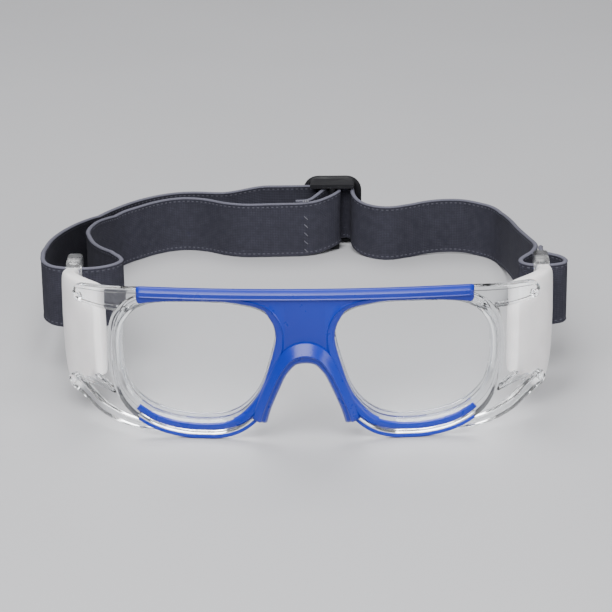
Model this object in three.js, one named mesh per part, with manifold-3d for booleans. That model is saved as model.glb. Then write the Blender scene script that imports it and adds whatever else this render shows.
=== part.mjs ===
// Sports protective goggles: a clear moulded front with a coloured brow, nose pad and lower trims, soft
// temple pads on slotted blades, and an elastic head strap with a sliding three-bar buckle.
// Millimetres. +Z is up, the wearer looks along -Y and +X is on the wearer's left.

import * as THREE from 'three';
import { mergeVertices } from 'three/addons/utils/BufferGeometryUtils.js';
import Module from 'manifold-3d';

const wasm = await Module();
wasm.setup();

// ---- driving dimensions -------------------------------------------------------------------------

const GAP = 0.3;              // clearance between touching pieces

const WRAP_RADIUS = 350;      // plan radius of the wrapped front
const FRONT_HEIGHT = 47;      // floor to the top of the brow
const RIM_WIDTH = 4.2;        // lens opening to the outside of the rim
const RIM_FOOT = 6.9;         // the same at the bottom, where the rim stands
const RIM_DEPTH = 7;
const LIP_DEPTH = 2;          // front lip that holds the lens
const GROOVE_WIDTH = 2.6;
const GROOVE_DEPTH = 1.6;
const RIM_STATIONS = 44;

const COVER_THICKNESS = 1.9;  // brow cover, in front of the frame
const BROW_HALF = 49;         // half length of the brow cover
const TRIM_THICKNESS = 1.3;
const NOSE_WIDTH = 4.5;
const NOSE_CREST = 2.2;       // how much wider the nose pad is at its top
const NOSE_THICKNESS = 3.4;

const ARM_THICKNESS = 2.4;
const PAD_THICKNESS = 5;
const BLADE_THICKNESS = 1.6;
const PIN_RADIUS = 1;
const PIN_HEAD_RADIUS = 1.7;
const PIN_HEAD_HEIGHT = 0.6;

const STRAP_WIDTH = 20;
const STRAP_THICKNESS = 1.5;
const STRAP_TEMPLE_Z = 17;    // lower edge of the strap in the temple slots
const STRAP_BUCKLE_Z = 2.5;   // lower edge of the strap in the buckle
const STRAP_LANDING_Y = 150;  // where the strap comes down to the floor
const SLOT_Y = 48.5;          // middle of the strap in the temple slots
const SLOT_WIDTH = 2.7;
const TAB_X = 71.9;
const TAB_THICKNESS = 4.6;
const TAB_BAR = 3.2;          // bars in front of and behind the slot
const TAB_WALL = 2.8;         // material above and below the slot

const SWING_Y = 62;           // axis about which the strap swings, along X
const SWING_Z = STRAP_TEMPLE_Z + STRAP_WIDTH / 2;
const SWING_GAP = 0.5;

const BUCKLE_X = 6.8;
const BUCKLE_Y = 177.9;       // middle of the outer bars, behind the strap
const BUCKLE_WIDTH = 21;
const BUCKLE_HEIGHT = 25;
const BUCKLE_THICKNESS = 2.6;
const BUCKLE_BAR = 3;
const BUCKLE_TRAVEL = 20;     // how far the buckle slides towards the strap's fold
const CENTRE_BAR_Y = 170.4;
const CENTRE_BAR_RADIUS = 1.2;
const RUN_Y = 175.2;          // the strap's straight stretch through the buckle

const OBJECT_CENTRE_X = -2.5; // the strap's left fold reaches further out than its right one
const OBJECT_CENTRE_Y = 87.7;

// ---- materials ----------------------------------------------------------------------------------

const finish = (color, roughness, opacity = 1) => new THREE.MeshStandardMaterial({
  color, roughness, metalness: 0, opacity, transparent: opacity < 1,
});
const CLEAR = finish(0xd9dde2, 0.12, 0.45);
const LENS = finish(0xeef3f6, 0.04, 0.18);
const BLUE = finish(0x243eaf, 0.32);
const SILICONE = finish(0xcfcaca, 0.55);
const BLACK = finish(0x141416, 0.4);
const ELASTIC = finish(0x40404a, 0.9);

// ---- shared shaping -----------------------------------------------------------------------------

const wrap = (x) => (x * x) / (2 * WRAP_RADIUS);
const v3 = (x, y, z) => new THREE.Vector3(x, y, z);

// A solid through a row of sections, each a closed polygon with the same number of corners.
function loft(sections, closed = false) {
  const size = sections[0].length;
  const points = sections.flat();
  const index = [];
  const spans = closed ? sections.length : sections.length - 1;
  for (let s = 0; s < spans; s += 1) {
    const here = s * size;
    const next = ((s + 1) % sections.length) * size;
    for (let i = 0; i < size; i += 1) {
      const j = (i + 1) % size;
      index.push(here + i, here + j, next + j, here + i, next + j, next + i);
    }
  }
  if (!closed) {
    const last = (sections.length - 1) * size;
    for (const [a, b, c] of capTriangles(sections[0])) index.push(c, b, a);
    for (const [a, b, c] of capTriangles(sections.at(-1))) index.push(last + a, last + b, last + c);
  }
  const geometry = new THREE.BufferGeometry().setFromPoints(points);
  geometry.setIndex(index);
  return facingOut(geometry);
}

// Triangles that close a section, worked out in the section's own plane.
function capTriangles(section) {
  const normal = v3(0, 0, 0);
  section.forEach((p, i) => normal.add(p.clone().cross(section[(i + 1) % section.length])));
  normal.normalize();
  const helper = Math.abs(normal.z) < 0.9 ? v3(0, 0, 1) : v3(0, 1, 0);
  const u = helper.cross(normal).normalize();
  const w = normal.clone().cross(u);
  return THREE.ShapeUtils.triangulateShape(section.map((p) => new THREE.Vector2(p.dot(u), p.dot(w))), []);
}

// Turns every triangle over when the solid's signed volume is negative.
function facingOut(geometry) {
  const position = geometry.getAttribute('position');
  const index = geometry.getIndex().array;
  const [a, b, c] = [v3(0, 0, 0), v3(0, 0, 0), v3(0, 0, 0)];
  let volume = 0;
  for (let i = 0; i < index.length; i += 3) {
    a.fromBufferAttribute(position, index[i]);
    b.fromBufferAttribute(position, index[i + 1]);
    c.fromBufferAttribute(position, index[i + 2]);
    volume += a.dot(b.cross(c));
  }
  if (volume < 0) {
    for (let i = 0; i < index.length; i += 3) [index[i], index[i + 1]] = [index[i + 1], index[i]];
  }
  return geometry;
}

function solid(geometry) {
  const bare = geometry.clone();
  for (const name of ['normal', 'uv']) bare.deleteAttribute(name);
  const welded = mergeVertices(bare, 1e-4);
  return new wasm.Manifold(new wasm.Mesh({
    numProp: 3,
    vertProperties: new Float32Array(welded.getAttribute('position').array),
    triVerts: new Uint32Array(welded.getIndex().array),
  }));
}

function geometryOf(manifold) {
  const mesh = manifold.getMesh();
  const geometry = new THREE.BufferGeometry();
  geometry.setAttribute('position', new THREE.BufferAttribute(new Float32Array(mesh.vertProperties), 3));
  geometry.setIndex(Array.from(mesh.triVerts));
  return geometry;
}

const joined = (...parts) => parts.map(solid).reduce((a, b) => a.add(b));
const less = (body, ...cuts) => cuts.map(solid).reduce((a, b) => a.subtract(b), body);

// The same solid on the other side of the face.
function mirrored(geometry) {
  const copy = geometry.clone();
  copy.scale(-1, 1, 1);
  return facingOut(copy);
}

function box(low, high) {
  const size = high.clone().sub(low);
  const middle = low.clone().add(high).multiplyScalar(0.5);
  return new THREE.BoxGeometry(size.x, size.y, size.z).translate(middle.x, middle.y, middle.z);
}

// A bar along a curve, with a rectangular section that stands upright.
function uprightBar(points, height, thickness, steps) {
  const curve = new THREE.CatmullRomCurve3(points);
  return loft(curve.getSpacedPoints(steps).map((p, i) => {
    const t = curve.getTangentAt(i / steps);
    const side = v3(t.y, -t.x, 0).normalize().multiplyScalar(thickness / 2);
    const up = v3(0, 0, height(i / steps) / 2);
    return [
      p.clone().add(side).add(up), p.clone().add(side).sub(up),
      p.clone().sub(side).sub(up), p.clone().sub(side).add(up),
    ];
  }));
}

// ---- lens openings and rims ---------------------------------------------------------------------

// The lens opening on the +X side, in the front plane.
const OPENING = new THREE.CatmullRomCurve3([
  v3(8.9, 0, 33.5), v3(10.8, 0, 23.2), v3(14.8, 0, 13.1), v3(21.7, 0, 7.2), v3(34, 0, 6),
  v3(45, 0, 8.8), v3(51.7, 0, 14.8), v3(53.9, 0, 26), v3(52.4, 0, 36.3), v3(46.5, 0, 41),
  v3(34, 0, 42.1), v3(20, 0, 41.6), v3(11.5, 0, 38.9),
], true, 'centripetal');

// A point of the opening's outline, moved outwards in the front plane.
function outline(t, offset) {
  const p = OPENING.getPointAt(((t % 1) + 1) % 1);
  const tangent = OPENING.getTangentAt(((t % 1) + 1) % 1);
  return v3(p.x - tangent.z * offset, 0, p.z + tangent.x * offset);
}

const OUTWARD = outline(0, 1).x < outline(0, 0).x ? 1 : -1;
const ring = (t, offset) => outline(t, OUTWARD * offset);
const onFront = (p, depth) => v3(p.x, wrap(p.x) + depth, p.z);

// The rim is wider where the goggles stand, and flat on the floor there.
function rimEdge(t) {
  const inner = ring(t, 0);
  const direction = ring(t, 1).sub(inner);
  const foot = Math.max(0, -direction.z) ** 2;
  const edge = ring(t, RIM_WIDTH + (RIM_FOOT - RIM_WIDTH) * foot);
  edge.z = Math.min(Math.max(edge.z, 0), FRONT_HEIGHT - 0.6);
  return edge;
}

function rim() {
  const sections = [];
  const grooveBack = LIP_DEPTH + GROOVE_WIDTH;
  for (let i = 0; i < RIM_STATIONS; i += 1) {
    const t = i / RIM_STATIONS;
    const bevelled = ring(t, 0.8);
    const edge = rimEdge(t);
    sections.push([
      onFront(edge, 0), onFront(edge, RIM_DEPTH), onFront(ring(t, 0), RIM_DEPTH),
      onFront(ring(t, 0), grooveBack), onFront(ring(t, GROOVE_DEPTH), grooveBack),
      onFront(ring(t, GROOVE_DEPTH), LIP_DEPTH), onFront(ring(t, 0), LIP_DEPTH),
      onFront(ring(t, 0), 0.8), onFront(bevelled, 0),
    ]);
  }
  return loft(sections, true);
}

function lens() {
  const edge = GROOVE_DEPTH - GAP;
  const face = (depth) => Array.from(
    { length: RIM_STATIONS },
    (_, i) => onFront(ring(i / RIM_STATIONS, edge), depth),
  );
  return loft([face(LIP_DEPTH + GAP), face(LIP_DEPTH + GROOVE_WIDTH - GAP)]);
}

// ---- clear front frame --------------------------------------------------------------------------

// The temple's middle line in plan, from the rim's side back to the slotted tab.
const TEMPLE = new THREE.CatmullRomCurve3([
  v3(58.2, 12.2, 0), v3(64.5, 18.4, 0), v3(69.9, 26, 0), v3(72, 34.5, 0), v3(72, 45, 0),
]);

const UPPER_ARM = [
  v3(48.5, 4.4, 42.9), v3(53.5, 5.5, 42.7), v3(58.5, 7.7, 42.3), v3(62, 10.4, 42), v3(65.3, 13.6, 41.6),
  v3(68, 16.5, 41.1),
];
const LOWER_ARM = [
  v3(46, 4.4, 3.2), v3(50, 4.7, 3.8), v3(55, 5.9, 5.3), v3(60.3, 8.9, 7.4), v3(64.2, 12.5, 9.8),
  v3(67.4, 15.7, 11.6), v3(70.6, 19.5, 12.4),
];
// a forked rib from the rim's side to the arm's foot
const RIBS = [
  [v3(56.4, 6, 13.6), v3(59.2, 7.9, 15.6), v3(62.2, 10.6, 16.8)],
  [v3(56.4, 6, 13.4), v3(61.8, 10.2, 14.4), v3(66.6, 14.9, 14.1)],
];

function bridge() {
  const sections = [];
  const steps = 6;
  const half = 9;
  for (let i = 0; i <= steps; i += 1) {
    const x = -half + (2 * half * i) / steps;
    const low = 29.6 + (Math.abs(x) / half) * 1.2;
    const high = FRONT_HEIGHT - 0.8;
    sections.push([
      v3(x, wrap(x), low), v3(x, wrap(x), high), v3(x, wrap(x) + RIM_DEPTH - 1, high),
      v3(x, wrap(x) + RIM_DEPTH - 1, low),
    ]);
  }
  return loft(sections);
}

function frontFrame() {
  const upper = uprightBar(UPPER_ARM, (s) => 7.2 - 2.2 * s ** 3, ARM_THICKNESS, 10);
  const lower = uprightBar(LOWER_ARM, (s) => 2.6 + 2.4 * s, ARM_THICKNESS, 10);
  const ribs = RIBS.map((points) => uprightBar(points, () => 1.2, 1.4, 5));
  const rightRim = rim();
  const body = joined(
    rightRim, mirrored(rightRim), bridge(), upper, mirrored(upper), lower, mirrored(lower),
    ...ribs, ...ribs.map(mirrored),
  );
  const holes = PINS.map((pin) => pinShape(pin, PIN_RADIUS + GAP, PIN_RADIUS + GAP));
  const pockets = [lens(), mirrored(lens())].map((g) => grooveCutter(g));
  return geometryOf(less(body, ...holes, ...holes.map(mirrored), ...pockets));
}

// Clears what the bridge and the arms would fill of the openings and their lens grooves.
function grooveCutter(lensGeometry) {
  const side = Math.sign(lensGeometry.getAttribute('position').getX(0));
  const face = (offset, depth) => Array.from({ length: RIM_STATIONS }, (_, i) => {
    const p = onFront(ring(i / RIM_STATIONS, offset), depth);
    return v3(p.x * side, p.y, p.z);
  });
  const back = LIP_DEPTH + GROOVE_WIDTH;
  return loft([
    face(0.8, -1), face(0.8, 0), face(0, 0.8), face(0, LIP_DEPTH), face(GROOVE_DEPTH, LIP_DEPTH),
    face(GROOVE_DEPTH, back), face(0, back), face(0, RIM_DEPTH + 1),
  ]);
}

// ---- coloured front pieces ----------------------------------------------------------------------

// Lower edge of the brow cover: along the lens openings, then down each side of the bridge.
const BROW_EDGE = [
  [0, 31.5], [3, 31.1], [5.2, 29.9], [7, 28], [7.7, 27], [7.85, 34], [8.5, 36.6], [10.7, 39.9],
  [13.4, 41.7], [20, 42.8], [34, 43.2], [44, 42.6], [BROW_HALF, 41.8],
];

function browEdge(x) {
  const reach = Math.min(Math.abs(x), BROW_HALF);
  const i = Math.min(BROW_EDGE.findIndex(([edge]) => reach <= edge), BROW_EDGE.length - 1);
  if (i <= 0) return BROW_EDGE[0][1];
  const [x0, z0] = BROW_EDGE[i - 1];
  const [x1, z1] = BROW_EDGE[i];
  return THREE.MathUtils.lerp(z0, z1, (reach - x0) / (x1 - x0));
}

function browCover() {
  const stops = BROW_EDGE.map(([x]) => x).concat([16, 26, 39, 47.6]).sort((a, b) => a - b);
  const across = [...stops.slice(1).reverse().map((x) => -x), ...stops];
  return loft(across.map((x) => {
    const low = browEdge(x);
    const endRound = Math.abs(x) > 48 ? 1.1 : 0;
    const front = wrap(x) - COVER_THICKNESS - GAP;
    return [
      v3(x, wrap(x) - GAP, low + endRound), v3(x, front, low + 0.4 + endRound),
      v3(x, front, FRONT_HEIGHT - 1.2 - endRound), v3(x, front + 0.9, FRONT_HEIGHT - endRound),
      v3(x, wrap(x) - GAP, FRONT_HEIGHT - endRound),
    ];
  }));
}

// A horseshoe over the nose, thicker at the front lip.
function nosePad() {
  const side = [v3(13.7, 0, 6.2), v3(12.4, 0, 10.6), v3(9.2, 0, 18.4), v3(7.2, 0, 22.4), v3(4, 0, 26.5)];
  const path = new THREE.CatmullRomCurve3([
    ...side, v3(0, 0, 27.7), ...side.map((p) => v3(-p.x, 0, p.z)).reverse(),
  ]);
  const steps = 28;
  return loft(path.getSpacedPoints(steps).map((p, i) => {
    const t = path.getTangentAt(i / steps);
    const crest = NOSE_CREST * THREE.MathUtils.smoothstep(1 - Math.abs(2 * i / steps - 1), 0.6, 1);
    const across = v3(-t.z, 0, t.x).multiplyScalar((NOSE_WIDTH + crest) / 2);
    const outer = p.clone().add(across);
    const inner = p.clone().sub(across);
    const lip = p.clone().sub(across.clone().multiplyScalar(0.75));
    return [
      onFront(outer, -GAP), onFront(inner, -GAP), onFront(inner, -GAP - NOSE_THICKNESS * 0.7),
      onFront(lip, -GAP - NOSE_THICKNESS), onFront(outer, -GAP - NOSE_THICKNESS * 0.45),
    ];
  }));
}

// A strip along the lower front of a rim, from the nose round to the outer corner.
function lowerTrim() {
  const from = 0.205;
  const to = 0.42;
  const steps = 14;
  const sections = [];
  for (let i = 0; i <= steps; i += 1) {
    const t = from + ((to - from) * i) / steps;
    sections.push([
      onFront(ring(t, 1.3), -GAP), onFront(ring(t, 1.5), -GAP - TRIM_THICKNESS),
      onFront(ring(t, 4.2), -GAP - TRIM_THICKNESS), onFront(ring(t, 4.5), -GAP),
    ]);
  }
  return loft(sections);
}

// ---- temples ------------------------------------------------------------------------------------

// Lower and upper edges of the temple pad against distance along the temple.
const PAD_LOW = [
  [0, 14.4], [0.14, 15], [0.2, 13.8], [0.26, 11], [0.32, 9], [0.42, 8], [0.5, 8.6], [0.58, 10.6],
  [0.7, 14], [0.82, 17.2], [1, 19.6],
];
const PAD_HIGH = [[0, 42], [0.2, 43.4], [0.45, 43], [0.7, 41], [1, 38.4]];
const PAD_FROM = 0.08;
const PAD_TO = 0.955;

function along(table, s) {
  const i = Math.max(1, table.findIndex(([at]) => s <= at + 1e-9));
  const [s0, z0] = table[i - 1];
  const [s1, z1] = table[i];
  return THREE.MathUtils.lerp(z0, z1, (s - s0) / (s1 - s0));
}

// An upright plate along the temple's middle line between two heights.
function templePlate(thickness, low, high, from, to, steps) {
  const sections = [];
  for (let i = 0; i <= steps; i += 1) {
    const s = from + ((to - from) * i) / steps;
    const at = Math.min(s, 1);
    const p = TEMPLE.getPointAt(at);
    const t = TEMPLE.getTangentAt(at);
    p.addScaledVector(t, (s - at) * TEMPLE.getLength());
    const side = v3(t.y, -t.x, 0).multiplyScalar(thickness / 2);
    sections.push([
      v3(p.x + side.x, p.y + side.y, high(s)), v3(p.x + side.x, p.y + side.y, low(s)),
      v3(p.x - side.x, p.y - side.y, low(s)), v3(p.x - side.x, p.y - side.y, high(s)),
    ]);
  }
  return loft(sections);
}

const BLADE_MARGIN = 1;       // silicone left above and below the blade
const bladeLow = (s) => along(PAD_LOW, Math.min(s, 1)) + BLADE_MARGIN;
const bladeHigh = (s) => along(PAD_HIGH, Math.min(s, 1)) - BLADE_MARGIN;

function templePad() {
  const high = (s) => along(PAD_HIGH, s);
  const outer = templePlate(PAD_THICKNESS, (s) => along(PAD_LOW, s), high, PAD_FROM, PAD_TO, 22);
  const pocket = templePlate(
    BLADE_THICKNESS + 2 * GAP, (s) => bladeLow(s) - GAP, (s) => bladeHigh(s) + GAP, 0.12, 1.1, 22,
  );
  const holes = PINS.map((pin) => pinShape(pin, PIN_RADIUS + GAP, PIN_RADIUS + GAP));
  return geometryOf(less(solid(outer), pocket, ...holes));
}

// The slotted tab that the strap passes through.
function tab() {
  const half = SLOT_WIDTH / 2;
  const low = STRAP_TEMPLE_Z - TAB_WALL - 0.6;
  const high = STRAP_TEMPLE_Z + STRAP_WIDTH + TAB_WALL + 0.6;
  const shape = new THREE.Shape();
  const [y0, y1] = [SLOT_Y - half - TAB_BAR, SLOT_Y + half + TAB_BAR];
  const round = 2.2;
  shape.moveTo(y0, low);
  shape.lineTo(y1 - round, low);
  shape.absarc(y1 - round, low + round, round, -Math.PI / 2, 0);
  shape.absarc(y1 - round, high - round, round, 0, Math.PI / 2);
  shape.lineTo(y0, high);
  const slot = new THREE.Path();
  slot.moveTo(SLOT_Y - half, STRAP_TEMPLE_Z - 0.6);
  slot.lineTo(SLOT_Y - half, STRAP_TEMPLE_Z + STRAP_WIDTH + 0.6);
  slot.lineTo(SLOT_Y + half, STRAP_TEMPLE_Z + STRAP_WIDTH + 0.6);
  slot.lineTo(SLOT_Y + half, STRAP_TEMPLE_Z - 0.6);
  shape.holes.push(slot);
  const geometry = new THREE.ExtrudeGeometry(shape, {
    depth: TAB_THICKNESS, bevelEnabled: false, curveSegments: 4,
  });
  // the shape's x and y become Y and Z, and its depth becomes X
  geometry.applyMatrix4(new THREE.Matrix4().set(0, 0, 1, 0, 1, 0, 0, 0, 0, 1, 0, 0, 0, 0, 0, 1));
  return geometry.translate(TAB_X - TAB_THICKNESS / 2, 0, 0);
}

function templeBlade() {
  const blade = templePlate(BLADE_THICKNESS, bladeLow, bladeHigh, 0.13, 1.02, 20);
  const holes = PINS.map((pin) => pinShape(pin, PIN_RADIUS + GAP, PIN_RADIUS + GAP));
  return geometryOf(less(joined(blade, tab()), ...holes));
}

// Where the arms are pinned to the blade: place on the temple line and height.
const PINS = [{ s: 0.21, z: 40.3, name: 'upper' }, { s: 0.29, z: 13, name: 'lower' }];

// A headed pin across the arm, the pad's outer wall and the blade.
function pinShape({ s, z }, radius, headRadius) {
  const p = TEMPLE.getPointAt(s);
  const t = TEMPLE.getTangentAt(s);
  const armFace = PAD_THICKNESS / 2 + GAP + ARM_THICKNESS;
  const start = -BLADE_THICKNESS / 2;
  const tip = armFace + 0.5;
  const head = tip + PIN_HEAD_HEIGHT;
  const profile = [
    [0, start], [radius, start], [radius, tip], [headRadius, tip], [headRadius, head], [0, head],
  ];
  const geometry = new THREE.LatheGeometry(profile.map(([r, h]) => new THREE.Vector2(r, h)), 16);
  const outward = v3(t.y, -t.x, 0).normalize();
  geometry.applyQuaternion(new THREE.Quaternion().setFromUnitVectors(v3(0, 1, 0), outward));
  return facingOut(mergeVertices(stripped(geometry)).translate(p.x, p.y, z));
}

function stripped(geometry) {
  for (const name of ['normal', 'uv']) geometry.deleteAttribute(name);
  return geometry;
}

// ---- strap --------------------------------------------------------------------------------------

// Lower edge of the strap: level in the temples, down to the floor, and lifted at the buckle.
function strapLow(p) {
  const fall = THREE.MathUtils.clamp((p.y - SWING_Y - 2) / (STRAP_LANDING_Y - SWING_Y - 2), 0, 1);
  const lifted = BUCKLE_X - BUCKLE_TRAVEL - 3;
  const nearBuckle = THREE.MathUtils.smoothstep(p.x, lifted - 18, lifted);
  const behind = THREE.MathUtils.smoothstep(p.y, 160, 171);
  return STRAP_TEMPLE_Z * (1 - fall) + STRAP_BUCKLE_Z * nearBuckle * behind;
}

function ribbon(points, spacing) {
  const curve = new THREE.CatmullRomCurve3(points.map(([x, y]) => v3(x, y, 0)), false, 'centripetal');
  const steps = Math.ceil(curve.getLength() / spacing);
  return loft(curve.getSpacedPoints(steps).map((p, i) => {
    const t = curve.getTangentAt(i / steps);
    const side = v3(t.y, -t.x, 0).multiplyScalar(STRAP_THICKNESS / 2);
    const low = strapLow(p);
    const high = low + STRAP_WIDTH;
    return [
      v3(p.x + side.x, p.y + side.y, low), v3(p.x + side.x, p.y + side.y, high),
      v3(p.x - side.x, p.y - side.y, high), v3(p.x - side.x, p.y - side.y, low),
    ];
  }));
}

// Plan routes of the strap's middle line, from the temples to the buckle.
const LEFT_OUTER = [
  [10.4, RUN_Y], [-12, RUN_Y], [-28, RUN_Y], [-35.5, 175.6], [-42.2, 176.4], [-48.5, 176], [-55.3, 173.2],
  [-62.5, 167.8], [-69.5, 159.4], [-75.6, 149], [-79.9, 134], [-83.1, 113], [-84.4, 92.5], [-84, 74],
  [-83.4, 62], [-82.4, 55.4], [-80.8, 52.6],
];
const LEFT_ANCHOR = [
  [-83.5, 64], [-83.4, 62], [-82.4, 55.4], [-79.6, 51], [-75.8, 49.1], [-72, SLOT_Y], [-67, SLOT_Y],
  [-63, 49.9], [-59.6, 52.6], [-58.2, 55.8], [-59.2, 59.4], [-60.9, 62], [-62.1, 64],
];
const LEFT_INNER = [
  [-59.2, 53], [-58.2, 55.8], [-59.2, 59.4], [-60.9, 62], [-65.6, 71.4], [-69.8, 84.2], [-72.5, 97],
  [-74.5, 110], [-74.9, 124], [-73.2, 140], [-67.4, 154.2], [-62.2, 160.2], [-57, 165.2], [-51, 168.8],
  [-44.8, 169.8], [-38, 167.9], [-31, 163.6], [-24.5, 161.6], [-15.8, 161.6], [-10.4, 161.8],
];
const FIXED_END = [
  [-10, 161.8], [-4, 162.1], [0.6, 163.2], [4.6, 165.3], [7.8, 167.8], [9.3, 170], [8.6, 172.1],
  [6.6, 172.8], [4.2, 171.4], [1.6, 168], [-1.4, 164.9], [-6.2, 164.3],
];
const RIGHT_RUN = [
  [11.1, RUN_Y], [12.6, 174.7], [13.8, 172.4], [14.2, 168], [15.6, 164.6], [18.6, 161.4], [23.5, 158.2],
  [28, 157.8], [33.3, 160], [39.8, 162.6], [48.2, 163.7], [55.4, 162.8], [61.6, 159.3], [65.6, 152.4],
  [67.9, 135], [69.2, 112], [70.9, 90], [72, 76], [71.9, 67], [70.3, 61.4], [67.8, 57.4], [66.2, 54.4],
  [66, 52.4],
];
const RIGHT_ANCHOR = [
  [71.4, 64], [70.3, 61.4], [67.8, 57.4], [66.2, 54.4], [66, 51.8], [67.8, 49.4], [71.9, SLOT_Y],
  [76.2, 48.9], [79, 50.4], [79.8, 53.4], [78.4, 56.6], [75.6, 58.8], [72.8, 61], [72.2, 64],
];
const RIGHT_TAIL = [[79.6, 52], [79.8, 53.4], [78.4, 56.6], [75.6, 58.8], [72.8, 61], [72.3, 66], [72.2, 72]];

// Shapes about the swing axis, all wider than the strap's loop.
const REACH = 100;
const aheadOfSwing = box(v3(-REACH, -REACH, -REACH), v3(REACH, SWING_Y, REACH));
const behindSwing = box(v3(-REACH, SWING_Y, -REACH), v3(REACH, 3 * REACH, REACH));
const swingDisc = (radius) => new THREE.CylinderGeometry(radius, radius, 2 * REACH, 48)
  .rotateZ(Math.PI / 2).translate(0, SWING_Y, SWING_Z);

// The stretch held in a temple, hollowed round the swing axis.
function anchored(route) {
  return geometryOf(less(solid(route), swingDisc(STRAP_WIDTH / 2 + SWING_GAP), behindSwing));
}

// The stretch behind it, with a round end that turns in that hollow.
function swinging(...routes) {
  const cutAway = solid(aheadOfSwing).subtract(solid(swingDisc(STRAP_WIDTH / 2)));
  return geometryOf(joined(...routes).subtract(cutAway));
}

// ---- buckle -------------------------------------------------------------------------------------

function roundedPlate(width, height, radius, thickness) {
  const shape = new THREE.Shape();
  const [w, h] = [width / 2 - radius, height / 2 - radius];
  [[w, -h, -90], [w, h, 0], [-w, h, 90], [-w, -h, 180]].forEach(([x, y, start]) => {
    const from = THREE.MathUtils.degToRad(start);
    shape.absarc(x, y, radius, from, from + Math.PI / 2);
  });
  return new THREE.ExtrudeGeometry(shape, { depth: thickness, bevelEnabled: false, curveSegments: 5 })
    .rotateX(Math.PI / 2).translate(0, thickness / 2, 0);
}

function buckle() {
  const middleZ = BUCKLE_HEIGHT / 2;
  const plate = roundedPlate(BUCKLE_WIDTH, BUCKLE_HEIGHT, 4, BUCKLE_THICKNESS)
    .translate(BUCKLE_X, BUCKLE_Y, middleZ);
  const window = roundedPlate(
    BUCKLE_WIDTH - 2 * BUCKLE_BAR, STRAP_WIDTH + 1, 1.5, BUCKLE_THICKNESS + 2,
  ).translate(BUCKLE_X, BUCKLE_Y, middleZ);
  // cheeks above and below the strap carry the centre bar in front of it
  const cheekHeight = (BUCKLE_HEIGHT - STRAP_WIDTH - 1) / 2;
  const cheeks = [0.2, BUCKLE_HEIGHT - cheekHeight].map((z) => box(
    v3(BUCKLE_X - 2.4, CENTRE_BAR_Y - CENTRE_BAR_RADIUS, z),
    v3(BUCKLE_X + 2.4, BUCKLE_Y, z + cheekHeight - 0.2),
  ));
  const bar = new THREE.CylinderGeometry(CENTRE_BAR_RADIUS, CENTRE_BAR_RADIUS, BUCKLE_HEIGHT - 2, 14)
    .rotateX(Math.PI / 2).translate(BUCKLE_X, CENTRE_BAR_Y, middleZ);
  return geometryOf(less(solid(plate), window).add(joined(...cheeks, bar)));
}

// ---- assembly -----------------------------------------------------------------------------------

const goggles = new THREE.Group();
goggles.position.set(-OBJECT_CENTRE_X, -OBJECT_CENTRE_Y, 0);

function add(name, geometry, material) {
  const mesh = new THREE.Mesh(geometry, material);
  mesh.name = name;
  goggles.add(mesh);
}

// Adds a piece on the +X side and its mirror image on the other.
function addPair(name, geometry, material) {
  add(`${name}_left`, geometry, material);
  add(`${name}_right`, mirrored(geometry), material);
}

add('front_frame', frontFrame(), CLEAR);
add('brow_cover', browCover(), BLUE);
add('nose_pad', nosePad(), BLUE);
addPair('lens', lens(), LENS);
addPair('lower_trim', lowerTrim(), BLUE);
addPair('temple_blade', templeBlade(), CLEAR);
addPair('temple_pad', templePad(), SILICONE);
for (const pin of PINS) addPair(`${pin.name}_pin`, pinShape(pin, PIN_RADIUS, PIN_HEAD_RADIUS), CLEAR);

add('strap_anchor_right', anchored(ribbon(LEFT_ANCHOR, 3)), ELASTIC);
add('strap_anchor_left', anchored(ribbon(RIGHT_ANCHOR, 3)), ELASTIC);
add('strap_outer_run', swinging(ribbon(LEFT_OUTER, 6)), ELASTIC);
add('strap_inner_run', swinging(ribbon(LEFT_INNER, 6)), ELASTIC);
add('strap_single_run', swinging(ribbon(RIGHT_RUN, 5), ribbon(RIGHT_TAIL, 4)), ELASTIC);
add('strap_sewn_end', ribbon(FIXED_END, 1.6), ELASTIC);
add('tri_glide_buckle', buckle(), BLACK);

export default goggles;
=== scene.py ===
"""Sports protective goggles: the looks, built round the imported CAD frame. Lengths are in millimetres
from the goggles' own middle plane (x), the front of the clear frame (y, going back) and the floor (z)."""

import math

import bmesh
import bpy
from mathutils import Matrix, Vector


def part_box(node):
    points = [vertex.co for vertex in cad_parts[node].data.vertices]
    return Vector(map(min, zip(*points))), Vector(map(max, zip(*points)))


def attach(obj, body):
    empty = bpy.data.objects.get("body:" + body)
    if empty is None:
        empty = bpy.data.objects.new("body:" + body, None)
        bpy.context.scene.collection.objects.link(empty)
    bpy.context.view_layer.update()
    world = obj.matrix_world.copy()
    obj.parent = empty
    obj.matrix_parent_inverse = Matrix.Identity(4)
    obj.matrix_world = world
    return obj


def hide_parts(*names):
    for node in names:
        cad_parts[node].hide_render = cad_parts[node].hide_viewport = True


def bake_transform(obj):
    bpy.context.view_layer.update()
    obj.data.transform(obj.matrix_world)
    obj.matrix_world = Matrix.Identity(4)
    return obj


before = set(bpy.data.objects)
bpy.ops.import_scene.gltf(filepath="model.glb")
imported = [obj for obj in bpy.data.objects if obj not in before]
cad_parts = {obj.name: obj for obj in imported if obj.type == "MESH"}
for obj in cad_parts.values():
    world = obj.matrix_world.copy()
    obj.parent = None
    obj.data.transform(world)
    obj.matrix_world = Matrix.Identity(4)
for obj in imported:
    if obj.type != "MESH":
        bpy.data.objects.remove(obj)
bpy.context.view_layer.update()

# ---- place and driving dimensions ---------------------------------------------------------------

MM = 0.001
BROW_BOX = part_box("brow_cover")
FRAME_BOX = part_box("front_frame")
BUCKLE_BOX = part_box("tri_glide_buckle")
MIDDLE_X = (BROW_BOX[0][0] + BROW_BOX[1][0]) / 2
FRONT_Y = FRAME_BOX[0][1]

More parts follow.
